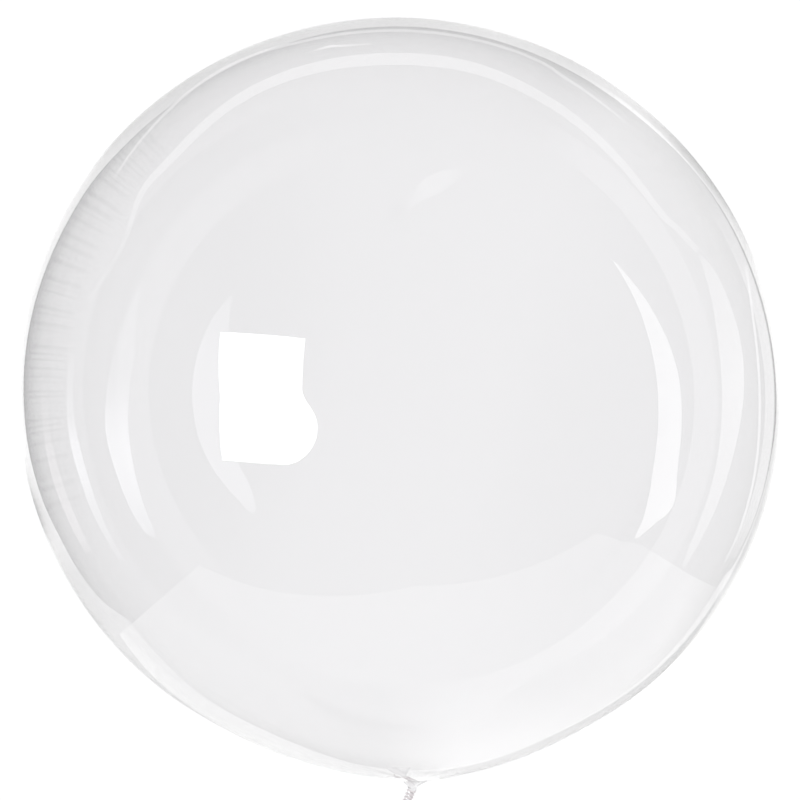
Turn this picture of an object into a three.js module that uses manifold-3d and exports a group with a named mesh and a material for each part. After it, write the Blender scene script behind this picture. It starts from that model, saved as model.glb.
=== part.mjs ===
import * as THREE from 'three';
import { mergeVertices } from 'three/addons/utils/BufferGeometryUtils.js';
import Module from 'manifold-3d';

// A clear bubble balloon, blown up and tied off, lying on its side with its crown towards +Y
// and its neck towards -Y. Millimetres, +Z up.
// The origin is the middle of the small flat spot that the balloon rests on.

// Body of the balloon
const bodyDiameter = 500;
const restSpotRadius = 30;
const unevenStretch = 0.008; // share that the film is longer one way and shorter across it
const stretchTurn = -25; // degrees from +X to the longer way, in the XY plane
const neckLean = 1.5; // degrees that the neck sits to the +X side of straight back
const neckPull = 7; // how far the neck draws the film out of its round shape
const neckPullSpread = 8; // degrees from the neck over which that pull dies away
const shoulderHollow = 1.6; // how far the film sits in between the neck and the round body
const shoulderAngle = 29;
const shoulderWidth = 11;

// Gathers round the neck
const gatherRadius = 13; // where the gathered cone starts
const gatherHeight = 6;
const gatherFlare = 2.2; // how sharply the cone spreads from the stem into the body
const pleatCount = 9;
const pleatDepth = 1;
const slackPleats = 4; // slower waves that make the pleats uneven
const slackShare = 0.4;
const pleatReach = 48; // distance from the neck where the last pleat has died away
const gatherSkew = 7; // how far the gathers are drawn towards +X

// Twisted stem and open tail, along one middle line that starts inside the gathers
const stemRadius = 1.45;
const stemLength = 22;
const twistLobes = 3;
const twistDepth = 0.12; // share of the stem's radius
const twistLead = 9;
const tailHalfWidth = 10.5;
const tailHalfThickness = 0.7;
const tailPleats = 5;
const tailPleatDepth = 1.6;

// The stem's middle line, from the end of the gathers: it leans to one side and its tail droops
const stemRoute = [
  [1.5, 4, 0],
  [0, 0, 0],
  [-2.7, -6, 0],
  [-6.4, -17, -0.6],
  [-9.4, -31, -3],
  [-10.6, -46, -8],
  [-10.2, -60, -15],
];

// Thread: an open winding, a knot beside it and two short ends
const threadRadius = 0.6;
const threadTurns = 5.5;
const threadPitch = 2.3;
const threadStart = 5.5; // where the winding starts on the stem's middle line
const threadGap = 0.3;
const knotRadius = 1.3;
const knotTube = 0.55;
const knotStandOff = 2.6; // from the winding's last turn to the knot's middle
const longEnd = [
  [-2, -3, -0.5],
  [-3.2, -8, -3],
  [-3, -13, -7],
  [-4, -17, -12],
];
const shortEnd = [
  [0, 0, 0],
  [-3, -2, -1.5],
  [-6.5, -4, -5],
  [-8.5, -5, -10],
];

// Facets
const roundSegments = 72;
const bodyRows = 32;
const gatherRows = 5;
const stemSegments = 28;
const stemRows = 30;
const threadSides = 8;
const threadStepsPerTurn = 12;
const endSteps = 8;
const knotSteps = 36;

const degree = Math.PI / 180;
const bodyRadius = bodyDiameter / 2;
const middleHeight = Math.sqrt(bodyRadius ** 2 - restSpotRadius ** 2);

const wasm = await Module();
wasm.setup();

const filmMaterial = new THREE.MeshStandardMaterial({
  color: 0xe9e6ea,
  roughness: 0.05,
  metalness: 0,
  transparent: true,
  opacity: 0.35,
});
const threadMaterial = new THREE.MeshStandardMaterial({ color: 0xe6e0e2, roughness: 0.6, metalness: 0 });

// A closed geometry as a solid: shared corners merged, and flat triangles at the poles dropped
function toSolid(geometry) {
  geometry.deleteAttribute('normal');
  geometry.deleteAttribute('uv');
  const merged = mergeVertices(geometry);
  const corners = merged.index.array;
  const kept = [];
  for (let i = 0; i < corners.length; i += 3) {
    const [a, b, c] = corners.slice(i, i + 3);
    if (a !== b && b !== c && c !== a) {
      kept.push(a, b, c);
    }
  }
  const vertProperties = new Float32Array(merged.attributes.position.array);
  return new wasm.Manifold(new wasm.Mesh({ numProp: 3, vertProperties, triVerts: new Uint32Array(kept) }));
}

function toGeometry(solid) {
  const { vertProperties, triVerts } = solid.getMesh();
  const geometry = new THREE.BufferGeometry();
  geometry.setAttribute('position', new THREE.BufferAttribute(vertProperties, 3));
  geometry.setIndex(new THREE.BufferAttribute(triVerts, 1));
  geometry.computeVertexNormals();
  return geometry;
}

// Moves every corner of a geometry with the given function
function reshape(geometry, move) {
  const positions = geometry.attributes.position;
  const point = new THREE.Vector3();
  for (let i = 0; i < positions.count; i += 1) {
    move(point.fromBufferAttribute(positions, i));
    positions.setXYZ(i, point.x, point.y, point.z);
  }
  return geometry;
}

// Distance of the film from the body's middle, at an angle in degrees from the neck
function filmRadius(fromNeck) {
  const pull = neckPull * Math.exp(-fromNeck / neckPullSpread);
  const hollow = shoulderHollow * Math.exp(-(((fromNeck - shoulderAngle) / shoulderWidth) ** 2));
  return bodyRadius + pull - hollow;
}

// Puts a point of the round body where the leaning neck and the uneven stretch carry it
function settle(point) {
  const longWay = new THREE.Vector3(Math.cos(stretchTurn * degree), Math.sin(stretchTurn * degree), 0);
  const shortWay = new THREE.Vector3(-longWay.y, longWay.x, 0);
  point.applyAxisAngle(new THREE.Vector3(0, 0, 1), neckLean * degree);
  const along = point.dot(longWay);
  const across = point.dot(shortWay);
  point.addScaledVector(longWay, unevenStretch * along);
  point.addScaledVector(shortWay, -unevenStretch * across);
  point.z += middleHeight;
  return point;
}

// Folds that run out from the neck, drawn to one side, and die away over the body
function pleat(point) {
  const fromAxis = Math.hypot(point.x, point.z);
  if (point.y > 0 || fromAxis < stemRadius || fromAxis > pleatReach) {
    return;
  }
  const turn = Math.atan2(point.x, point.z);
  const wave = Math.cos(pleatCount * turn) + slackShare * Math.cos(slackPleats * turn + 1);
  const fade = (1 - fromAxis / pleatReach) ** 2 * Math.min(1, (fromAxis - stemRadius) / gatherRadius);
  point.y -= pleatDepth * fade * wave;
  point.x += gatherSkew * fade;
}

const gatherAngle = Math.asin(gatherRadius / bodyRadius) / degree;
const gatherTop = -filmRadius(gatherAngle) * Math.cos(gatherAngle * degree);
const neckEnd = settle(new THREE.Vector3(0, gatherTop - gatherHeight, 0));

// The round body and its gathered cone, spun about Y from the neck to the crown
function makeBody() {
  const outline = [new THREE.Vector2(0, gatherTop - gatherHeight)];
  for (let i = 0; i < gatherRows; i += 1) {
    const t = i / gatherRows;
    const radius = stemRadius + (gatherRadius - stemRadius) * t ** gatherFlare;
    outline.push(new THREE.Vector2(radius, gatherTop - gatherHeight * (1 - t)));
  }
  for (let i = 0; i < bodyRows; i += 1) {
    const fromNeck = gatherAngle + ((180 - gatherAngle) * i) / bodyRows;
    const radius = filmRadius(fromNeck);
    const angle = fromNeck * degree;
    outline.push(new THREE.Vector2(radius * Math.sin(angle), -radius * Math.cos(angle)));
  }
  outline.push(new THREE.Vector2(0, filmRadius(180)));
  const body = new THREE.LatheGeometry(outline, roundSegments);
  return toSolid(
    reshape(body, (point) => {
      pleat(point);
      settle(point);
    }),
  );
}

const stemLine = new THREE.CatmullRomCurve3(
  stemRoute.map((offset) => new THREE.Vector3(...offset).add(neckEnd)),
);
const stemLineLength = stemLine.getLength();

// A place beside the stem's middle line: sideways, and up, at a distance along it
function besideStem(distance, sideways, up) {
  const t = THREE.MathUtils.clamp(distance / stemLineLength, 0, 1);
  const along = stemLine.getTangentAt(t);
  const side = new THREE.Vector3().crossVectors(new THREE.Vector3(0, 0, 1), along).normalize();
  const lift = new THREE.Vector3().crossVectors(along, side).normalize();
  return stemLine.getPointAt(t).addScaledVector(side, sideways).addScaledVector(lift, up);
}

// The twisted stem, which opens below the thread into a flat pleated tail
function makeStem() {
  const outline = [new THREE.Vector2(0, -stemLineLength)];
  for (let i = stemRows; i >= 0; i -= 1) {
    outline.push(new THREE.Vector2(1, (-stemLineLength * i) / stemRows));
  }
  outline.push(new THREE.Vector2(0, 0));
  const stem = new THREE.LatheGeometry(outline, stemSegments);
  return toSolid(
    reshape(stem, (point) => {
      const distance = -point.y;
      const opened = THREE.MathUtils.clamp((distance - stemLength) / (stemLineLength - stemLength), 0, 1);
      const turn = Math.atan2(point.x, point.z) - (2 * Math.PI * distance) / twistLead;
      const flattened = Math.min(1, opened * 3);
      const lobe = 1 + twistDepth * (1 - flattened) * Math.cos(twistLobes * turn);
      const halfWidth = THREE.MathUtils.lerp(stemRadius, tailHalfWidth, 1 - (1 - opened) ** 2);
      const halfThickness = THREE.MathUtils.lerp(stemRadius, tailHalfThickness, flattened);
      const fold = tailPleatDepth * Math.sin(Math.PI * opened) * Math.cos(tailPleats * point.x);
      point.copy(besideStem(distance, point.x * halfWidth * lobe, point.z * halfThickness * lobe + fold));
    }),
  );
}

function makeTube(points, steps, radius) {
  const section = new THREE.Shape().absarc(0, 0, radius, 0, 2 * Math.PI);
  const tube = new THREE.ExtrudeGeometry(section, {
    steps,
    curveSegments: threadSides / 2, // a full circle gets two sides for each
    extrudePath: new THREE.CatmullRomCurve3(points),
  });
  return toSolid(tube);
}

// The winding, its knot and the two ends that leave the knot, as one thread
function makeThread() {
  const coilRadius = stemRadius * (1 + twistDepth) + threadGap + threadRadius;
  const coil = [];
  const coilSteps = threadTurns * threadStepsPerTurn;
  for (let i = 0; i <= coilSteps; i += 1) {
    const turn = (2 * Math.PI * i) / threadStepsPerTurn;
    const distance = threadStart + (threadPitch * i) / threadStepsPerTurn;
    coil.push(besideStem(distance, coilRadius * Math.cos(turn), coilRadius * Math.sin(turn)));
  }
  const windingEnd = threadStart + threadPitch * threadTurns;
  const knotMiddle = besideStem(windingEnd, -coilRadius - knotStandOff, 0);
  const fromKnot = (offset) => new THREE.Vector3(...offset).add(knotMiddle);
  const winding = makeTube([...coil, knotMiddle, ...longEnd.map(fromKnot)], coilSteps + endSteps, threadRadius);
  const secondEnd = makeTube(shortEnd.map(fromKnot), endSteps, threadRadius);
  const knot = new THREE.TorusKnotGeometry(knotRadius, knotTube, knotSteps, threadSides, 2, 3);
  knot.translate(knotMiddle.x, knotMiddle.y, knotMiddle.z);
  return winding.add(secondEnd).add(toSolid(knot));
}

// Everything above the surface that the balloon lies on
function makeRoomAbove() {
  const side = 4 * bodyDiameter;
  return toSolid(new THREE.BoxGeometry(side, side, side).translate(0, 0, side / 2));
}

const film = new THREE.Mesh(toGeometry(makeBody().add(makeStem()).intersect(makeRoomAbove())), filmMaterial);
film.name = 'balloon_film';

const thread = new THREE.Mesh(toGeometry(makeThread()), threadMaterial);
thread.name = 'neck_thread';

const balloon = new THREE.Group();
balloon.add(film, thread);

export default balloon;
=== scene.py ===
import math

import bpy
import numpy as np
from mathutils import Matrix, Vector


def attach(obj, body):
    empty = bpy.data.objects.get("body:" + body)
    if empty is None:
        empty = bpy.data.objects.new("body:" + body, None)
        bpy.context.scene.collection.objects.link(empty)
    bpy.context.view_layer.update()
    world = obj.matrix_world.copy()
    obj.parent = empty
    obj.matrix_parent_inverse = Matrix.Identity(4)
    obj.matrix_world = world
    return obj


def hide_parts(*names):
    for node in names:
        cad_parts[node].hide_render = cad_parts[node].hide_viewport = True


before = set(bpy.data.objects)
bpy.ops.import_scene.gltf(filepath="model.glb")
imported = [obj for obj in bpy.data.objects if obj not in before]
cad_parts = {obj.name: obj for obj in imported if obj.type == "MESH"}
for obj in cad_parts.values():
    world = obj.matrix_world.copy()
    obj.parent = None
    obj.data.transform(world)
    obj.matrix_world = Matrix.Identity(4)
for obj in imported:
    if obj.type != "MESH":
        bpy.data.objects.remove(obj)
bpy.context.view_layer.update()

scene = bpy.context.scene
upAxis = Vector((0, 0, 1))


def linkNew(name, data):
    thing = bpy.data.objects.new(name, data)
    scene.collection.objects.link(thing)
    return thing


class TreeMaker:
    # small helper for wiring a node tree: it adds a node, sets what it is given and hands back its outputs
    def __init__(self, tree):
        self.tree = tree

    def add(self, kind, inputs=None, **settings):
        node = self.tree.nodes.new(kind)
        for name, value in settings.items():
            setattr(node, name, value)
        for key, value in (inputs or {}).items():
            if isinstance(value, bpy.types.NodeSocket):
                self.tree.links.new(value, node.inputs[key])
            else:
                node.inputs[key].default_value = value
        return node

    def math(self, operation, *values):
        return self.add("ShaderNodeMath", dict(enumerate(values)), operation=operation).outputs[0]

    def vector(self, operation, *values, out=0):
        return self.add("ShaderNodeVectorMath", dict(enumerate(values)), operation=operation).outputs[out]

    def scale(self, vector, factor):
        return self.add("ShaderNodeVectorMath", {0: vector, "Scale": factor}, operation="SCALE").outputs[0]

    def combine(self, x=0.0, y=0.0, z=0.0):
        return self.add("ShaderNodeCombineXYZ", {"X": x, "Y": y, "Z": z}).outputs[0]

    def split(self, vector):
        return self.add("ShaderNodeSeparateXYZ", {"Vector": vector}).outputs


def newModifierTree(name, sizes):
    # a geometry tree whose named number inputs are the given sizes
    tree = bpy.data.node_groups.new(name, "GeometryNodeTree")
    tree.interface.new_socket("Geometry", in_out="INPUT", socket_type="NodeSocketGeometry")
    for label, value in sizes.items():
        kind = "NodeSocketInt" if isinstance(value, int) else "NodeSocketFloat"
        tree.interface.new_socket(label, in_out="INPUT", socket_type=kind)
    tree.interface.new_socket("Geometry", in_out="OUTPUT", socket_type="NodeSocketGeometry")
    maker = TreeMaker(tree)
    return maker, maker.add("NodeGroupInput").outputs


def finishTree(maker, geometry, material):
    realized = maker.add("GeometryNodeRealizeInstances", {"Geometry": geometry}).outputs[0]
    smooth = maker.add("GeometryNodeSetShadeSmooth", {"Geometry": realized}).outputs[0]
    done = maker.add("GeometryNodeSetMaterial", {"Geometry": smooth, "Material": material}).outputs[0]
    maker.tree.links.new(done, maker.add("NodeGroupOutput").inputs["Geometry"])


def runTree(source, tree, sizes, name):
    # puts the tree on the source object, sets its inputs by identifier and keeps the result as a plain mesh
    modifier = source.modifiers.new(tree.name, "NODES")
    modifier.node_group = tree
    sockets = {item.name: item.identifier for item in tree.interface.items_tree if item.in_out == "INPUT"}
    for label, value in sizes.items():
        modifier[sockets[label]] = value
    bpy.context.view_layer.update()
    graph = bpy.context.evaluated_depsgraph_get()
    mesh = bpy.data.meshes.new_from_object(source.evaluated_get(graph), depsgraph=graph)
    source.modifiers.remove(modifier)
    bpy.data.objects.remove(source)
    mesh.name = name
    return linkNew(name, mesh)


filmFinish = {
    "tint": (0.927, 0.924, 0.928),  # what one wall lets through
    "ior": 1.49,
    "roughness": 0.0,
    "waveScale": 5.0,
    "waveStrength": 0.012,
    "waveDepth": 0.02,
}


def makeFilmMaterial(f):
    material = bpy.data.materials.new("clearFilm")
    material.use_nodes = True
    maker = TreeMaker(material.node_tree)
    shader = material.node_tree.nodes["Principled BSDF"]
    shader.inputs["Base Color"].default_value = (*f["tint"], 1)
    shader.inputs["Transmission Weight"].default_value = 1.0
    shader.inputs["Roughness"].default_value = f["roughness"]
    shader.inputs["IOR"].default_value = f["ior"]
    place = maker.add("ShaderNodeTexCoord").outputs["Object"]
    grain = {"Vector": place, "Scale": f["waveScale"], "Detail": 2.0}
    waves = maker.add("ShaderNodeTexNoise", grain).outputs["Fac"]
    relief = {"Height": waves, "Strength": f["waveStrength"], "Distance": f["waveDepth"]}
    bump = maker.add("ShaderNodeBump", relief)
    material.node_tree.links.new(bump.outputs[0], shader.inputs["Normal"])
    return material


threadFinish = {
    "light": (0.77, 0.73, 0.74),
    "dark": (0.46, 0.41, 0.43),
    "roughness": 0.62,
    "sheen": 0.3,
    "fibreScale": 2600.0,
    "fibreRange": (0.2, 0.6),  # where the noise turns from dark to light
    "fibreStrength": 0.35,
    "fibreDepth": 0.0002,
}


def makeThreadMaterial(t):
    material = bpy.data.materials.new("whiteThread")
    material.use_nodes = True
    maker = TreeMaker(material.node_tree)
    shader = material.node_tree.nodes["Principled BSDF"]
    place = maker.add("ShaderNodeTexCoord").outputs["Object"]
    grain = {"Vector": place, "Scale": t["fibreScale"], "Detail": 4.0}
    fibres = maker.add("ShaderNodeTexNoise", grain).outputs["Fac"]
    ramp = maker.add("ShaderNodeValToRGB", {"Fac": fibres})
    ramp.color_ramp.elements[0].color = (*t["dark"], 1)
    ramp.color_ramp.elements[0].position = t["fibreRange"][0]
    ramp.color_ramp.elements[1].color = (*t["light"], 1)
    ramp.color_ramp.elements[1].position = t["fibreRange"][1]
    relief = {"Height": fibres, "Strength": t["fibreStrength"], "Distance": t["fibreDepth"]}
    bump = maker.add("ShaderNodeBump", relief)
    material.node_tree.links.new(ramp.outputs["Color"], shader.inputs["Base Color"])
    material.node_tree.links.new(bump.outputs[0], shader.inputs["Normal"])
    shader.inputs["Roughness"].default_value = t["roughness"]
    shader.inputs["Sheen Weight"].default_value = t["sheen"]
    return material


filmMaterial = makeFilmMaterial(filmFinish)
threadMaterial = makeThreadMaterial(threadFinish)
print("materials made")

# film, one skin from the open tail, through the twisted stem and the gathers, to the crown
film = {
    "diameter": 0.5,
    "restSpot": 0.03,  # radius of the flat spot
    "neckPull": 0.0095,
    "neckPullSpread": 10.5,  # degrees
    "shoulderHollow": 0.0016,
    "shoulderAngle": 29.0,
    "shoulderWidth": 11.0,
    "gatherRadius": 0.013,
    "gatherHeight": 0.0075,
    "gatherFlare": 1.9,
    "neckLean": 1.5,  # degrees
    "unevenStretch": 0.008,
    "stretchTurn": -25.0,  # degrees
    "wall": 0.0002,
    "segments": 192,
    "bodyRows": 112,
    "rowCrowding": 1.3,  # above 1 the rows lie closer near the neck
    "gatherRows": 14,
}

stem = {
    "radius": 0.00145,
    "collarRadius": 0.0029,  # where it leaves the gathers
    "collarLength": 0.0014,
    "length": 0.022,
    "boundRadius": 0.0019,  # where a turn of thread pinches it
    "bulgeRadius": 0.0024,  # between two turns
    "pinchLength": 0.001,  # over which it narrows towards the thread
    "lobes": 3,
    "lobeDepth": 0.12,
    "twistLead": 0.009,
    "tailHalfWidth": 0.0105,
    "tailHalfThickness": 0.0007,
    "tailPleats": 5.0,
    "tailPleatDepth": 0.0016,
    "rows": 84,
    "route": [
        (0.0015, 0.004, 0.0),
        (0.0, 0.0, 0.0),
        (-0.0027, -0.006, 0.0),
        (-0.0064, -0.017, -0.0006),
        (-0.0094, -0.031, -0.003),
        (-0.0106, -0.046, -0.008),
        (-0.0102, -0.060, -0.015),
    ],
}

thread = {
    "radius": 0.0006,
    "turns": 5.5,
    "pitch": 0.0023,
    "start": 0.0055,
    "gap": 0.0003,
    "plies": 3,
    "lead": 0.0028,
    "stepsPerTurn": 40,
    "knotRadius": 0.0013,
    "knotTube": 0.00055,
    "knotSteps": 90,
    "knotStandOff": 0.0026,
    "longEnd": [
        (-0.002, -0.003, -0.0005),
        (-0.0032, -0.008, -0.003),
        (-0.003, -0.013, -0.007),
        (-0.004, -0.017, -0.012),
    ],
    "shortEnd": [
        (0.0, 0.0, 0.0),
        (-0.003, -0.002, -0.0015),
        (-0.0065, -0.004, -0.005),
        (-0.0085, -0.005, -0.010),
    ],
}

bodyRadius = film["diameter"] / 2
middleHeight = math.sqrt(bodyRadius**2 - film["restSpot"] ** 2)
boundLength = thread["turns"] * thread["pitch"]


def filmRadius(fromNeck):
    # distance of the film from the body's middle, at an angle in degrees from the neck
    pull = film["neckPull"] * np.exp(-fromNeck / film["neckPullSpread"])
    fromShoulder = (fromNeck - film["shoulderAngle"]) / film["shoulderWidth"]
    hollow = film["shoulderHollow"] * np.exp(-(fromShoulder**2))
    return bodyRadius + pull - hollow


def settle(point):
    # where the leaning neck and the uneven stretch carry a point of the round body
    leaned = Matrix.Rotation(math.radians(film["neckLean"]), 3, "Z") @ Vector(point)
    turn = math.radians(film["stretchTurn"])
    longWay = Vector((math.cos(turn), math.sin(turn), 0))
    shortWay = Vector((-longWay.y, longWay.x, 0))
    stretch = film["unevenStretch"]
    leaned += longWay * (stretch * leaned.dot(longWay)) - shortWay * (stretch * leaned.dot(shortWay))
    return leaned + upAxis * middleHeight


gatherAngle = math.degrees(math.asin(film["gatherRadius"] / bodyRadius))
gatherTop = -filmRadius(gatherAngle) * math.cos(math.radians(gatherAngle))
neckEnd = settle((0, gatherTop - film["gatherHeight"], 0))


class Route:
    # a smooth line through a few points, walked by distance
    def __init__(self, points, steps=60):
        p = np.array([points[0], *points, points[-1]], float)
        p[0] = 2 * p[1] - p[2]
        p[-1] = 2 * p[-2] - p[-3]
        line = []
        for i in range(1, len(p) - 2):
            for t in np.arange(steps) / steps:
                line.append(0.5 * (2 * p[i] + (p[i + 1] - p[i - 1]) * t
                                   + (2 * p[i - 1] - 5 * p[i] + 4 * p[i + 1] - p[i + 2]) * t**2
                                   + (3 * p[i] - p[i - 1] - 3 * p[i + 1] + p[i + 2]) * t**3))
        line.append(p[-2])
        self.line = np.array(line)
        strides = np.linalg.norm(np.diff(self.line, axis=0), axis=1)
        self.distances = np.concatenate([[0], np.cumsum(strides)])
        self.length = self.distances[-1]

    def at(self, distance):
        return Vector([np.interp(distance, self.distances, self.line[:, k]) for k in range(3)])

    def along(self, distance):
        reach = 0.0004
        return (self.at(distance + reach) - self.at(distance - reach)).normalized()

    def beside(self, distance, sideways, up):
        along = self.along(distance)
        side = upAxis.cross(along).normalized()
        return self.at(distance) + side * sideways + along.cross(side) * up


stemRoute = Route([neckEnd + Vector(p) for p in stem["route"]])
neckDistance = 0.0043  # where the route leaves the gathers


def stemRing(distance):
    # one ring of the stem or of the tail that it opens into
    f = stem
    opened = min(max((distance - f["length"]) / (stemRoute.length - f["length"]), 0), 1)
    flat = min(1, opened * 3)
    pinch = f["pinchLength"]
    inBinding = min(max((distance - thread["start"] + pinch) / pinch, 0), 1)
    inBinding *= min(max((thread["start"] + boundLength - distance + pinch) / pinch, 0), 1)
    halfWidth = f["radius"] + (f["tailHalfWidth"] - f["radius"]) * (1 - (1 - opened) ** 2)
    halfThickness = f["radius"] + (f["tailHalfThickness"] - f["radius"]) * flat
    collar = max(0, 1 - (distance - neckDistance) / f["collarLength"]) * (f["collarRadius"] - f["radius"])
    halfWidth += collar
    halfThickness += collar
    ring = []
    for j in range(film["segments"]):
        turn = 2 * math.pi * j / film["segments"]
        x, z = math.cos(turn), math.sin(turn)
        twist = turn - 2 * math.pi * distance / f["twistLead"]
        lobe = 1 + f["lobeDepth"] * (1 - flat) * math.cos(f["lobes"] * twist)
        threadPhase = 2 * math.pi * (distance - thread["start"]) / thread["pitch"] - turn
        bound = f["boundRadius"] + (f["bulgeRadius"] - f["boundRadius"]) * (0.5 - 0.5 * math.cos(threadPhase))
        wide = halfWidth * lobe * (1 - inBinding) + bound * inBinding
        thick = halfThickness * lobe * (1 - inBinding) + bound * inBinding
        fold = f["tailPleatDepth"] * math.sin(math.pi * min(1, opened)) * math.cos(f["tailPleats"] * x)
        ring.append(stemRoute.beside(distance, wide * x, thick * z + fold))
    return ring


def ringAt(radius, height):
    # a plain ring about the body's own Y axis, turning the same way as the stem's
    return [Vector((radius * math.cos(t), height, radius * math.sin(t)))
            for t in (2 * math.pi * j / film["segments"] for j in range(film["segments"]))]


def makeFilmBase():
    rings, onBody = [], []
    for i in range(stem["rows"] + 1):
        distance = stemRoute.length - (stemRoute.length - neckDistance) * i / stem["rows"]
        rings.append(stemRing(distance))
        onBody.append(0.0)
    widening = film["gatherRadius"] - stem["collarRadius"]
    for i in range(1, film["gatherRows"]):
        t = i / film["gatherRows"]
        radius = stem["collarRadius"] + widening * t ** film["gatherFlare"]
        rings.append(ringAt(radius, gatherTop - film["gatherHeight"] * (1 - t)))
        onBody.append(1.0)
    for i in range(film["bodyRows"]):
        fromNeck = gatherAngle + (180 - gatherAngle) * (i / film["bodyRows"]) ** film["rowCrowding"]
        radius = float(filmRadius(fromNeck))
        angle = math.radians(fromNeck)
        rings.append(ringAt(radius * math.sin(angle), -radius * math.cos(angle)))
        onBody.append(1.0)
    count = film["segments"]
    points = [tuple(p) for ring in rings for p in ring] + [(0, float(filmRadius(180.0)), 0)]
    faces = []
    for i in range(len(rings) - 1):
        for j in range(count):
            k = (j + 1) % count
            faces.append((i * count + j, i * count + k, (i + 1) * count + k, (i + 1) * count + j))
    last, crown = (len(rings) - 1) * count, len(points) - 1
    faces += [(last + j, last + (j + 1) % count, crown) for j in range(count)]
    mesh = bpy.data.meshes.new("filmBase")
    mesh.from_pydata(points, [], faces)
    marks = mesh.attributes.new("onBody", "FLOAT", "POINT")
    marks.data.foreach_set("value", np.repeat(onBody + [1.0], [count] * len(rings) + [1]))
    return linkNew("filmBase", mesh)


filmShape = {
    "Pleats": 9,
    "Pleat Depth": 0.001,
    "Slack Pleats": 4,
    "Slack Share": 0.4,
    "Pleat Reach": 0.048,
    "Gather Skew": 0.007,
    "Gather Radius": film["gatherRadius"],
    "Stem Radius": stem["collarRadius"],
    "Crease Depth": 0.00035,
    "Creases": 6.0,
    "Neck Lean": math.radians(film["neckLean"]),
    "Uneven Stretch": film["unevenStretch"],
    "Stretch Turn": math.radians(film["stretchTurn"]),
    "Middle Height": middleHeight,
    "Lowest": film["wall"],  # the wall's thickness is laid on outside this skin
    "Seed": 4,
}


def makeFilmTree(sizes):
    maker, given = newModifierTree("balloonFilm", sizes)
    m, v = maker.math, maker.vector
    onBody = maker.add("GeometryNodeInputNamedAttribute", {"Name": "onBody"}, data_type="FLOAT").outputs[0]
    place = maker.add("GeometryNodeInputPosition").outputs[0]

    # pleats and creases run out from the neck and die away over the body
    x, y, z = maker.split(place)
    fromAxis = v("LENGTH", maker.combine(x, 0.0, z), out=1)
    turn = m("ARCTAN2", x, z)
    slack = m("COSINE", m("MULTIPLY_ADD", given["Slack Pleats"], turn, 1.0))
    even = m("COSINE", m("MULTIPLY", given["Pleats"], turn))
    wave = m("ADD", even, m("MULTIPLY", slack, given["Slack Share"]))
    around = maker.combine(m("SINE", turn), m("COSINE", turn), m("MULTIPLY", fromAxis, 4.0))
    noise = maker.add(
        "ShaderNodeTexNoise",
        {"Vector": around, "W": given["Seed"], "Scale": given["Creases"], "Detail": 1.0},
        noise_dimensions="4D",
    ).outputs["Fac"]
    crease = m("ABSOLUTE", m("SINE", m("MULTIPLY", noise, 24.0)))
    inReach = m("MAXIMUM", m("SUBTRACT", 1.0, m("DIVIDE", fromAxis, given["Pleat Reach"])), 0.0)
    rise = m("DIVIDE", m("SUBTRACT", fromAxis, given["Stem Radius"]), given["Gather Radius"])
    nearNeck = m("MULTIPLY", m("LESS_THAN", y, 0.0), m("MINIMUM", m("MAXIMUM", rise, 0.0), 1.0))
    fade = m("MULTIPLY", m("MULTIPLY", inReach, inReach), nearNeck)
    depth = m("MULTIPLY_ADD", wave, given["Pleat Depth"], m("MULTIPLY", crease, given["Crease Depth"]))
    inward = m("MULTIPLY", m("MULTIPLY", fade, depth), -1.0)
    shift = maker.combine(m("MULTIPLY", fade, given["Gather Skew"]), inward)
    pleated = maker.add(
        "GeometryNodeSetPosition",
        {"Geometry": given["Geometry"], "Selection": onBody, "Offset": shift},
    ).outputs[0]

    # the neck leans, and the film is a little longer one way than the other
    leaned = maker.add(
        "ShaderNodeVectorRotate", {"Vector": place, "Angle": given["Neck Lean"]}, rotation_type="Z_AXIS"
    ).outputs[0]
    cosine, sine = m("COSINE", given["Stretch Turn"]), m("SINE", given["Stretch Turn"])
    longWay = maker.combine(cosine, sine)
    shortWay = maker.combine(m("MULTIPLY", sine, -1.0), cosine)
    more = m("MULTIPLY", v("DOT_PRODUCT", leaned, longWay, out=1), given["Uneven Stretch"])
    shrink = m("MULTIPLY", given["Uneven Stretch"], -1.0)
    less = m("MULTIPLY", v("DOT_PRODUCT", leaned, shortWay, out=1), shrink)
    stretched = v("ADD", leaned, v("ADD", maker.scale(longWay, more), maker.scale(shortWay, less)))
    lifted = v("ADD", stretched, maker.combine(0.0, 0.0, given["Middle Height"]))
    settled = maker.add(
        "GeometryNodeSetPosition", {"Geometry": pleated, "Selection": onBody, "Position": lifted}
    ).outputs[0]

    # nothing goes below the surface it lies on
    fx, fy, fz = maker.split(place)
    raised = maker.combine(fx, fy, m("MAXIMUM", fz, given["Lowest"]))
    rested = maker.add("GeometryNodeSetPosition", {"Geometry": settled, "Position": raised}).outputs[0]
    finishTree(maker, rested, filmMaterial)
    return maker.tree


balloonFilm = runTree(makeFilmBase(), makeFilmTree(filmShape), filmShape, "balloonFilm")
wall = balloonFilm.modifiers.new("wall", "SOLIDIFY")
wall.thickness = film["wall"]
wall.offset = -1
balloonFilm.visible_shadow = False  # the lamps shine straight through it
balloonFilm.visible_diffuse = False
print("film made:", len(balloonFilm.data.polygons), "faces in its skin")

# thread, a winding, a knot beside it and two short ends

def addSpline(curve, points, closed=False):
    spline = curve.splines.new("POLY")
    spline.points.add(len(points) - 1)
    for target, p in zip(spline.points, points):
        target.co = (*p, 1)
    spline.use_cyclic_u = closed


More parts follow.
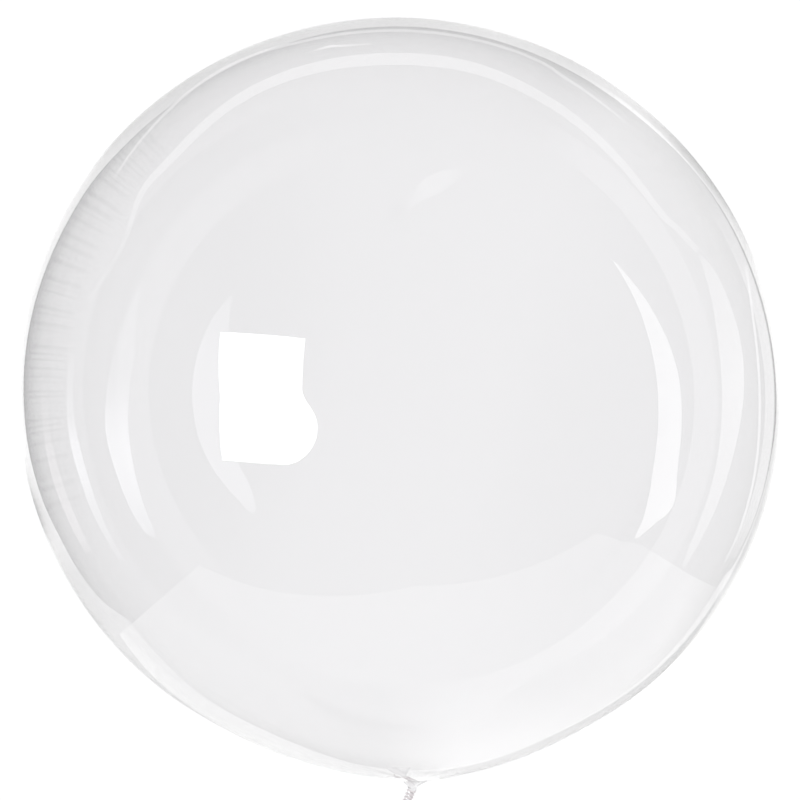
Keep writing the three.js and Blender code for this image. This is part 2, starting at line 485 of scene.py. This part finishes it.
def makeThreadPath(t):
    coilRadius = stem["radius"] * (1 + stem["lobeDepth"]) + t["gap"] + t["radius"]
    coil = []
    for i in range(int(t["turns"] * t["stepsPerTurn"]) + 1):
        turn = 2 * math.pi * i / t["stepsPerTurn"]
        distance = t["start"] + t["pitch"] * i / t["stepsPerTurn"]
        coil.append(stemRoute.beside(distance, coilRadius * math.cos(turn), coilRadius * math.sin(turn)))
    knotMiddle = stemRoute.beside(t["start"] + boundLength, -coilRadius - t["knotStandOff"], 0)
    longEnd = Route([coil[-1], knotMiddle, *[knotMiddle + Vector(p) for p in t["longEnd"]]])
    shortEnd = Route([knotMiddle + Vector(p) for p in t["shortEnd"]])
    knot = []
    for i in range(t["knotSteps"]):
        u = 4 * math.pi * i / t["knotSteps"]
        reach = t["knotRadius"] * (2 + math.cos(1.5 * u)) / 2
        lift = t["knotRadius"] * math.sin(1.5 * u) / 2
        knot.append(knotMiddle + Vector((reach * math.cos(u), reach * math.sin(u), lift)))
    curve = bpy.data.curves.new("threadPath", "CURVE")
    curve.dimensions = "3D"
    addSpline(curve, coil + [Vector(p) for p in longEnd.line[1:]])
    addSpline(curve, [Vector(p) for p in shortEnd.line])
    addSpline(curve, knot, closed=True)
    return linkNew("threadPath", curve)


threadShape = {
    "Thread Radius": thread["radius"],
    "Ply Share": 0.52,
    "Plies": thread["plies"],
    "Lead": thread["lead"],
    "Step": 0.00025,
    "Sides": 8,
}


def makeThreadTree(sizes):
    maker, given = newModifierTree("twistedThread", sizes)
    m, v = maker.math, maker.vector
    even = maker.add(
        "GeometryNodeResampleCurve", {"Curve": given["Geometry"], "Length": given["Step"]}, mode="LENGTH"
    ).outputs[0]
    copies = maker.add(
        "GeometryNodeDuplicateElements", {"Geometry": even, "Amount": given["Plies"]}, domain="SPLINE"
    )
    share = m("DIVIDE", copies.outputs["Duplicate Index"], given["Plies"])
    walked = maker.add("GeometryNodeSplineParameter").outputs["Length"]
    angle = m("MULTIPLY", m("ADD", share, m("DIVIDE", walked, given["Lead"])), 2 * math.pi)
    along = maker.add("GeometryNodeInputTangent").outputs[0]
    normal = maker.add("GeometryNodeInputNormal").outputs[0]
    side = v("CROSS_PRODUCT", along, normal)
    plyRadius = m("MULTIPLY", given["Thread Radius"], given["Ply Share"])
    offAxis = m("SUBTRACT", given["Thread Radius"], plyRadius)
    swing = maker.scale(normal, m("MULTIPLY", m("COSINE", angle), offAxis))
    lean = maker.scale(side, m("MULTIPLY", m("SINE", angle), offAxis))
    twisted = maker.add(
        "GeometryNodeSetPosition", {"Geometry": copies.outputs[0], "Offset": v("ADD", swing, lean)}
    ).outputs[0]
    section = maker.add(
        "GeometryNodeCurvePrimitiveCircle", {"Resolution": given["Sides"], "Radius": plyRadius}
    ).outputs[0]
    tube = maker.add(
        "GeometryNodeCurveToMesh", {"Curve": twisted, "Profile Curve": section, "Fill Caps": True}
    ).outputs[0]
    finishTree(maker, tube, threadMaterial)
    return maker.tree


neckThread = runTree(makeThreadPath(thread), makeThreadTree(threadShape), threadShape, "neckThread")
print("thread made:", len(neckThread.data.polygons), "faces")

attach(balloonFilm, "root")
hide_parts("balloon_film")
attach(neckThread, "root")
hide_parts("neck_thread")

# the floor's own pale colour, and the painted levels it glows with in the film's reflections
floorLook = {
    "halfSide": 9.0,
    "drop": 0.0004,  # keeps the floor clear of the film's flat spot
    "color": (0.87, 0.87, 0.875),
    "roughness": 0.55,
    "mirrored": (0.72, 0.14),  # brightness in the film's own reflection, and on its dim side
    "mirroredSide": 165.0,  # degrees from +X
    "mirroredFrom": (-0.45, -0.15),
    "darkWithin": (0.44, 0.48),  # painted shade round the balloon in its reflections, out to here
    "darkWithinDim": (0.46, 0.66),  # and on the dim side
    "darkShare": 0.1,  # of the bright side that is left there
    "echoed": (1.0, 0.7),  # brightness in reflections inside the balloon
    "echoedSide": -10.0,
    "echoedFrom": (0.1, 0.8),
    "echoedWithin": (0.24, 0.17),
    "lines": 0.42,  # strength of fine painted dark lines in its reflections across the dim side
    "lineScale": 62.0,
    "lineShare": (0.46, 0.66),
    "lineSide": 166.0,
    "lineFrom": (0.76, 0.9),
    "lineWithin": (1.3, 1.0),
    "lineBeyond": (0.46, 0.54),
}


def smoothStep(maker, value, low, high):
    steps = {"Value": value, "From Min": low, "From Max": high}
    return maker.add("ShaderNodeMapRange", steps, interpolation_type="SMOOTHSTEP").outputs["Result"]


def sideways(maker, direction, turn):
    # how far a direction points to the side that lies at so many degrees from +X
    way = (math.cos(math.radians(turn)), math.sin(math.radians(turn)), 0)
    return maker.vector("DOT_PRODUCT", direction, way, out=1)


def kindOfRay(maker):
    # whether a ray comes straight from a reflection, and whether one inside the balloon came earlier
    path = maker.add("ShaderNodeLightPath").outputs
    mirrored = maker.math("MULTIPLY", path["Is Glossy Ray"], path["Is Reflection Ray"])
    reflected = maker.math("GREATER_THAN", path["Glossy Depth"], 0.5)
    return mirrored, maker.math("SUBTRACT", reflected, mirrored)


def fade(maker, share, start, end):
    # start where share is 0, end where it is 1; either may be a number or a socket
    return maker.math("MULTIPLY_ADD", share, maker.math("SUBTRACT", end, start), start)


def makeFloor(f):
    s, z = f["halfSide"], -f["drop"]
    mesh = bpy.data.meshes.new("floor")
    mesh.from_pydata([(-s, -s, z), (s, -s, z), (s, s, z), (-s, s, z)], [], [(0, 1, 2, 3)])
    floor = linkNew("floor", mesh)
    material = bpy.data.materials.new("paleFloor")
    material.use_nodes = True
    maker = TreeMaker(material.node_tree)
    shader = material.node_tree.nodes["Principled BSDF"]
    shader.inputs["Base Color"].default_value = (*f["color"], 1)
    shader.inputs["Roughness"].default_value = f["roughness"]
    shader.inputs["Specular IOR Level"].default_value = 0.0
    # painted reflection: in the film's reflections the floor glows with a painted level instead of its lit
    # look, with painted shade right round the balloon, dim on one side, with fine painted dark lines
    place = maker.add("ShaderNodeTexCoord").outputs["Object"]
    direction = maker.vector("NORMALIZE", place)
    away = maker.vector("LENGTH", place, out=1)
    dim = smoothStep(maker, sideways(maker, direction, f["mirroredSide"]), *f["mirroredFrom"])
    level = fade(maker, dim, *f["mirrored"])
    # painted shade right round the balloon, seen only in the film's reflections
    clear = fade(maker, smoothStep(maker, away, *f["darkWithin"]), f["darkShare"], 1.0)
    clear = fade(maker, dim, clear, smoothStep(maker, away, *f["darkWithinDim"]))
    level = maker.math("MULTIPLY", level, clear)
    echo = smoothStep(maker, sideways(maker, direction, f["echoedSide"]), *f["echoedFrom"])
    echo = maker.math("MULTIPLY", echo, smoothStep(maker, away, *f["echoedWithin"]))
    # fine painted dark lines, seen only in the film's reflections on the dim side
    striped = smoothStep(maker, sideways(maker, direction, f["lineSide"]), *f["lineFrom"])
    striped = maker.math("MULTIPLY", striped, smoothStep(maker, away, *f["lineWithin"]))
    striped = maker.math("MULTIPLY", striped, smoothStep(maker, away, *f["lineBeyond"]))
    x, y, _ = maker.split(place)
    grain = {"W": maker.math("ARCTAN2", y, x), "Scale": f["lineScale"], "Detail": 1.0}
    comb = maker.add("ShaderNodeTexNoise", grain, noise_dimensions="1D").outputs["Fac"]
    lines = maker.math("MULTIPLY", smoothStep(maker, comb, *f["lineShare"]), f["lines"])
    mirrored, echoed = kindOfRay(maker)
    unlined = fade(maker, maker.math("MULTIPLY", striped, lines), 1.0, 0.0)
    echoLevel = maker.math("MULTIPLY", fade(maker, echo, *f["echoed"]), unlined)
    level = fade(maker, mirrored, echoLevel, level)
    paintedReflection = maker.add("ShaderNodeEmission", {"Strength": level}).outputs[0]
    either = maker.math("ADD", mirrored, echoed)
    both = maker.add("ShaderNodeMixShader", {0: either, 1: shader.outputs[0], 2: paintedReflection}).outputs[0]
    material.node_tree.links.new(both, material.node_tree.nodes["Material Output"].inputs["Surface"])
    material.cycles.emission_sampling = "NONE"
    mesh.materials.append(material)


makeFloor(floorLook)

view = {
    "lens": 85.0,
    "share": 0.951,  # of the picture's width that the body fills
    "offset": (0.0002, -0.0025),
}


def cameraPlace(c):
    # straight above the body, as far off as its share of the picture asks
    slope = 18 / c["lens"] * c["share"]
    return Vector((*c["offset"], middleHeight + bodyRadius / math.sin(math.atan(slope))))


def onTurn(turn, radius):
    # across and up, for a turn in degrees from +X
    return radius * math.cos(math.radians(turn)), radius * math.sin(math.radians(turn))


def mirroredSpot(across, up, wall):
    # where the film mirrors the camera's look to, on a flat wall given by its normal and distance;
    # across and up are shares of the body's outline
    eye = cameraPlace(view)
    middle = upAxis * middleHeight
    reach = eye.z - middleHeight
    outline = bodyRadius / math.sqrt(1 - (bodyRadius / reach) ** 2)
    look = (middle + outline * Vector((across, up, 0)) - eye).normalized()
    start = eye - middle
    nearer = -start.dot(look) - math.sqrt(start.dot(look) ** 2 - start.dot(start) + bodyRadius**2)
    touch = start + nearer * look
    away = look.reflect(touch)
    normal = Vector(wall[:3])
    return middle + touch + away * ((wall[3] - normal.dot(middle + touch)) / normal.dot(away))


def curveThrough(rows, steps=4):
    # a smooth curve through the rows, with a few steps from each to the next
    rows = [np.array(row, float) for row in rows]
    ends = [2 * rows[0] - rows[1], *rows, 2 * rows[-1] - rows[-2]]
    curve = []
    for a, b, c, d in zip(ends, ends[1:], ends[2:], ends[3:]):
        for t in np.arange(steps) / steps:
            bend = (2 * a - 5 * b + 4 * c - d) * t**2 + (3 * b - a - 3 * c + d) * t**3
            curve.append(b + ((c - a) * t + bend) / 2)
    return [*curve, rows[-1]]


floorLevel = (0, 0, 1, 0)

# softboxes and sheets that only show as reflections in the film: a band's rows are the turn in
# degrees, the share of the body's outline where its reflection shows, its width and its glow
softboxes = {
    "keyBox": {"kind": "window", "glow": 9.0, "wall": (-0.69, 0, 0.72, 1.3), "outline": [
        (-0.466, 0.166), (-0.244, 0.151), (-0.255, 0.01),
        *[(-0.315 + x, -0.087 + y) for x, y in (onTurn(turn, 0.1) for turn in range(45, -90, -15))],
        (-0.465, -0.172), (-0.468, -0.005)]},
    "keyHalo": {"kind": "band", "glow": 1.7, "wall": (-0.8, 0, 0.6, 1.2), "tint": (0.95, 0.95, 1.0),
                "rows": [
        (149, 0.51, 0.006, 0.5), (158, 0.503, 0.049, 0.7), (170, 0.492, 0.09, 1), (183, 0.491, 0.1, 1),
        (199, 0.495, 0.073, 1), (212, 0.485, 0.048, 0.9), (219, 0.493, 0.016, 0.6)]},
    "rightWindow": {"kind": "band", "glow": 2.5, "wall": (1, 0, 0, 1.3), "rows": [
        (33, 0.668, 0.002, 1), (20, 0.685, 0.031, 1), (5.6, 0.701, 0.057, 1), (-13, 0.713, 0.062, 1),
        (-21.5, 0.731, 0.069, 1), (-26.5, 0.724, 0.034, 1), (-31, 0.716, 0.007, 0.8)]},
    "rightPool": {"kind": "band", "glow": 1.0, "rows": [
        (25.7, 0.873, 0.006, 0.4), (21.4, 0.878, 0.031, 0.6), (11, 0.875, 0.057, 0.8),
        (2, 0.871, 0.058, 1), (-12, 0.861, 0.037, 0.9), (-26, 0.857, 0.021, 0.7), (-31, 0.861, 0.007, 0.5)]},
    "leftWindow": {"kind": "band", "glow": 2.3, "wall": (-1, 0, 0, 1.3), "tint": (0.95, 0.96, 1.0),
                   "rows": [
        (157, 0.732, 0.002, 0.2), (170, 0.726, 0.049, 0.22), (178, 0.733, 0.058, 0.3),
        (187, 0.744, 0.06, 0.85), (195.5, 0.746, 0.049, 1), (207.5, 0.75, 0.028, 0.6),
        (210.6, 0.744, 0.006, 0.35)]},
    "leftPool": {"kind": "band", "glow": 1.5, "tint": (0.95, 0.96, 1.0), "rows": [
        (173, 0.859, 0.016, 0.1), (184, 0.862, 0.018, 0.45), (189, 0.859, 0.022, 1),
        (195, 0.855, 0.022, 1), (201, 0.854, 0.02, 0.6), (211, 0.85, 0.011, 0.2)]},
    "leftEdge": {"kind": "band", "glow": 0.6, "tint": (1.0, 0.94, 0.96), "rows": [
        (177, 0.929, 0.016, 0.1), (185.5, 0.928, 0.016, 0.4), (192, 0.925, 0.022, 0.85),
        (202, 0.919, 0.021, 1), (207, 0.916, 0.017, 0.4)]},
    "farArch": {"kind": "band", "glow": 0.75, "rows": [
        (163, 0.845, 0.011, 0.2), (156, 0.823, 0.011, 0.5), (149, 0.825, 0.012, 0.7),
        (141, 0.857, 0.016, 0.9), (132, 0.861, 0.021, 1), (114, 0.89, 0.026, 1), (90, 0.892, 0.032, 1),
        (76, 0.891, 0.029, 1), (60, 0.871, 0.024, 0.95), (38, 0.842, 0.017, 0.9), (31, 0.858, 0.016, 0.7),
        (26.5, 0.873, 0.016, 0.4)]},
    "thinLine": {"kind": "band", "glow": 0.5, "rows": [
        (142.6, 0.935, 0.005, 0.3), (137, 0.946, 0.006, 1), (121, 0.973, 0.007, 1), (112, 0.974, 0.007, 1),
        (102, 0.967, 0.007, 1), (70, 0.964, 0.007, 1), (63, 0.952, 0.007, 1), (56, 0.944, 0.006, 0.9),
        (50, 0.939, 0.005, 0.3)]},
    "rightLine": {"kind": "band", "glow": 0.7, "rows": [
        (21, 0.971, 0.006, 0.3), (12, 0.947, 0.006, 1), (0, 0.94, 0.006, 1), (-13, 0.947, 0.006, 1),
        (-21, 0.951, 0.006, 0.8), (-27, 0.95, 0.006, 0.3)]},
    "highPatch": {"kind": "band", "glow": 0.7, "wall": (0, 1, 0, 1.3), "rows": [
        (87.5, 0.494, 0.02, 0.3), (83.5, 0.548, 0.057, 1), (78, 0.585, 0.058, 1), (74, 0.616, 0.024, 0.3)]},
    "highFleck": {"kind": "band", "glow": 0.8, "rows": [
        (103.5, 0.937, 0.004, 0.3), (101, 0.94, 0.006, 1), (98, 0.935, 0.005, 0.8),
        (94, 0.933, 0.004, 0.3)]},
    "rightRim": {"kind": "band", "glow": 0.4, "rows": [
        (34.4, 0.964, 0.026, 0), (14.7, 0.966, 0.024, 1), (-15, 0.966, 0.023, 1), (-26, 0.962, 0.015, 0.3)]},
    # the rows of a ring are the turn, the radius on the floor, and the glow there and at its inner edge
    "closePool": {"kind": "ring", "glow": 0.85, "inner": 0.24, "rows": [
        (220, 0.727, 0.55, 1.5), (215, 0.597, 0.75, 1.3), (209, 0.545, 0.8, 1.4), (203, 0.522, 1.15, 1.3),
        (197.5, 0.485, 1.15, 0.4), (191, 0.46, 1.35, 1.2), (184, 0.448, 1.45, 2.4), (171, 0.447, 1.3, 2.4),
        (153, 0.474, 1.1, 2.2), (145, 0.48, 0.95, 2.0), (137, 0.509, 0.8, 1.2), (126, 0.525, 0.52, 1.4),
        (114, 0.507, 0.55, 1.6), (102, 0.488, 0.7, 1.6), (90, 0.478, 0.75, 1.4), (75, 0.481, 0.9, 1.45),
        (63, 0.491, 0.95, 1.1), (53, 0.502, 1.0, 1.4), (46, 0.493, 0.9, 1.15), (40, 0.472, 0.85, 0.6),
        (32, 0.454, 1.05, 0.4), (24, 0.447, 1.25, 1.0), (14, 0.444, 1.4, 2.1), (2, 0.44, 1.4, 2.4),
        (-4, 0.439, 1.1, 2.6), (-12, 0.457, 0.85, 2.6), (-26, 0.482, 0.48, 2.6), (-31, 0.535, 0.4, 2.4),
        (-52, 0.484, 0.45, 2.2), (-78, 0.471, 0.4, 1.8), (-101, 0.51, 0.75, 1.6), (-121, 0.583, 0.75, 1.3),
        (-140, 0.727, 0.55, 1.5)]},
    "nearEdge": {"kind": "board", "glow": 0.65, "shares": [0.75, 0.9, 1.1, 0.1], "corners": [
        (-0.38, -0.325, 0), (-0.758, -0.652, 0), (0.851, -0.526, 0), (0.4, -0.24, 0)]},
    "nearSheet": {"kind": "board", "glow": 0.65, "shares": [0.95, 1, 1.3, 1.1], "corners": [
        (-0.758, -0.652, 0), (-2.3, -1.98, 0), (3.4, -2.1, 0), (0.851, -0.526, 0)]},
    "nearBoard": {"kind": "board", "glow": 0.65, "corners": [
        (-2.3, -1.98, 0), (-2.3, -1.98, 0.9), (0.1, -1.98, 1.75), (2.9, -2.05, 1.65), (3.4, -2.1, 0.6),
        (3.4, -2.1, 0)]},
}


def softboxFaces(s):
    # points, faces and how much of the glow each point has
    wall = s.get("wall", floorLevel)
    points, glow = [], []
    if s["kind"] in ("window", "board"):
        points = s.get("corners") or [mirroredSpot(across, up, wall) for across, up in s["outline"]]
        return points, [tuple(range(len(points)))], s.get("shares", [1.0] * len(points))
    for row in curveThrough(s["rows"]):
        if s["kind"] == "ring":
            turn, radius, rimShare, innerShare = row
            points += [(*onTurn(turn, radius), 0), (*onTurn(turn, s["inner"]), 0)]
            glow += [rimShare, innerShare]
        else:
            turn, middle, width, share = row
            for edge in (middle + width / 2, middle - width / 2):
                points.append(mirroredSpot(*onTurn(turn, edge), wall))
                glow.append(share)
    return points, [(k, k + 1, k + 3, k + 2) for k in range(0, len(points) - 2, 2)], glow


def makeSoftbox(name, s):
    points, faces, glow = softboxFaces(s)
    mesh = bpy.data.meshes.new(name)
    mesh.from_pydata(points, [], faces)
    mesh.attributes.new("glow", "FLOAT", "POINT").data.foreach_set("value", glow)
    box = linkNew(name, mesh)
    material = bpy.data.materials.new(name)
    material.use_nodes = True
    maker = TreeMaker(material.node_tree)
    share = maker.add("ShaderNodeAttribute", attribute_name="glow").outputs["Fac"]
    strength = maker.math("MULTIPLY", share, s["glow"])
    color = (*s.get("tint", (1, 1, 1)), 1)
    light = maker.add("ShaderNodeEmission", {"Color": color, "Strength": strength}).outputs[0]
    through = maker.add("ShaderNodeBsdfTransparent").outputs[0]
    both = maker.add("ShaderNodeAddShader", {0: light, 1: through}).outputs[0]
    material.node_tree.links.new(both, material.node_tree.nodes["Material Output"].inputs["Surface"])
    material.cycles.emission_sampling = "NONE"
    mesh.materials.append(material)
    box.visible_camera = False
    box.visible_diffuse = False
    box.visible_transmission = False
    box.visible_shadow = False


for name, spec in softboxes.items():
    makeSoftbox(name, spec)

studio = {
    "surroundings": 1.03,  # lights the floor, and shows behind the balloon
    "mirrored": (0.4, 0.04),  # what the film mirrors of them, and on its dim side
    "mirroredSide": 155.0,  # degrees from +X
    "mirroredFrom": (-0.5, 0.6),
    "echoed": (1.03, 0.55),  # what shows in reflections inside the balloon
    "echoedSide": -10.0,
    "echoedFrom": (0.3, 0.9),
    "keyStrength": 0.56,
    "keySpread": 30.0,  # degrees
    "keyFrom": (-0.5, 0.25, 1.0),
}


def makeWorld(w):
    world = bpy.data.worlds.new("studio")
    scene.world = world
    world.use_nodes = True
    maker = TreeMaker(world.node_tree)
    direction = maker.add("ShaderNodeTexCoord").outputs["Generated"]
    dim = smoothStep(maker, sideways(maker, direction, w["mirroredSide"]), *w["mirroredFrom"])
    echo = smoothStep(maker, sideways(maker, direction, w["echoedSide"]), *w["echoedFrom"])
    mirrored, echoed = kindOfRay(maker)
    level = fade(maker, echoed, w["surroundings"], fade(maker, echo, *w["echoed"]))
    level = fade(maker, mirrored, level, fade(maker, dim, *w["mirrored"]))
    world.node_tree.links.new(level, world.node_tree.nodes["Background"].inputs["Strength"])
    world.node_tree.nodes["Background"].inputs["Color"].default_value = (1, 1, 1, 1)


def makeKeyLight(w):
    lamp = bpy.data.lights.new("keyLight", "SUN")
    lamp.energy = w["keyStrength"]
    lamp.angle = math.radians(w["keySpread"])
    light = linkNew("keyLight", lamp)
    light.rotation_euler = Vector(w["keyFrom"]).to_track_quat("Z", "Y").to_euler()
    light.visible_glossy = False
    light.visible_transmission = False


makeWorld(studio)
makeKeyLight(studio)


def makeCamera(c):
    data = bpy.data.cameras.new("camera")
    data.lens = c["lens"]
    camera = linkNew("camera", data)
    camera.location = cameraPlace(c)
    scene.camera = camera


makeCamera(view)
scene.view_settings.view_transform = "Standard"
scene.cycles.use_denoising = True
print("studio made")
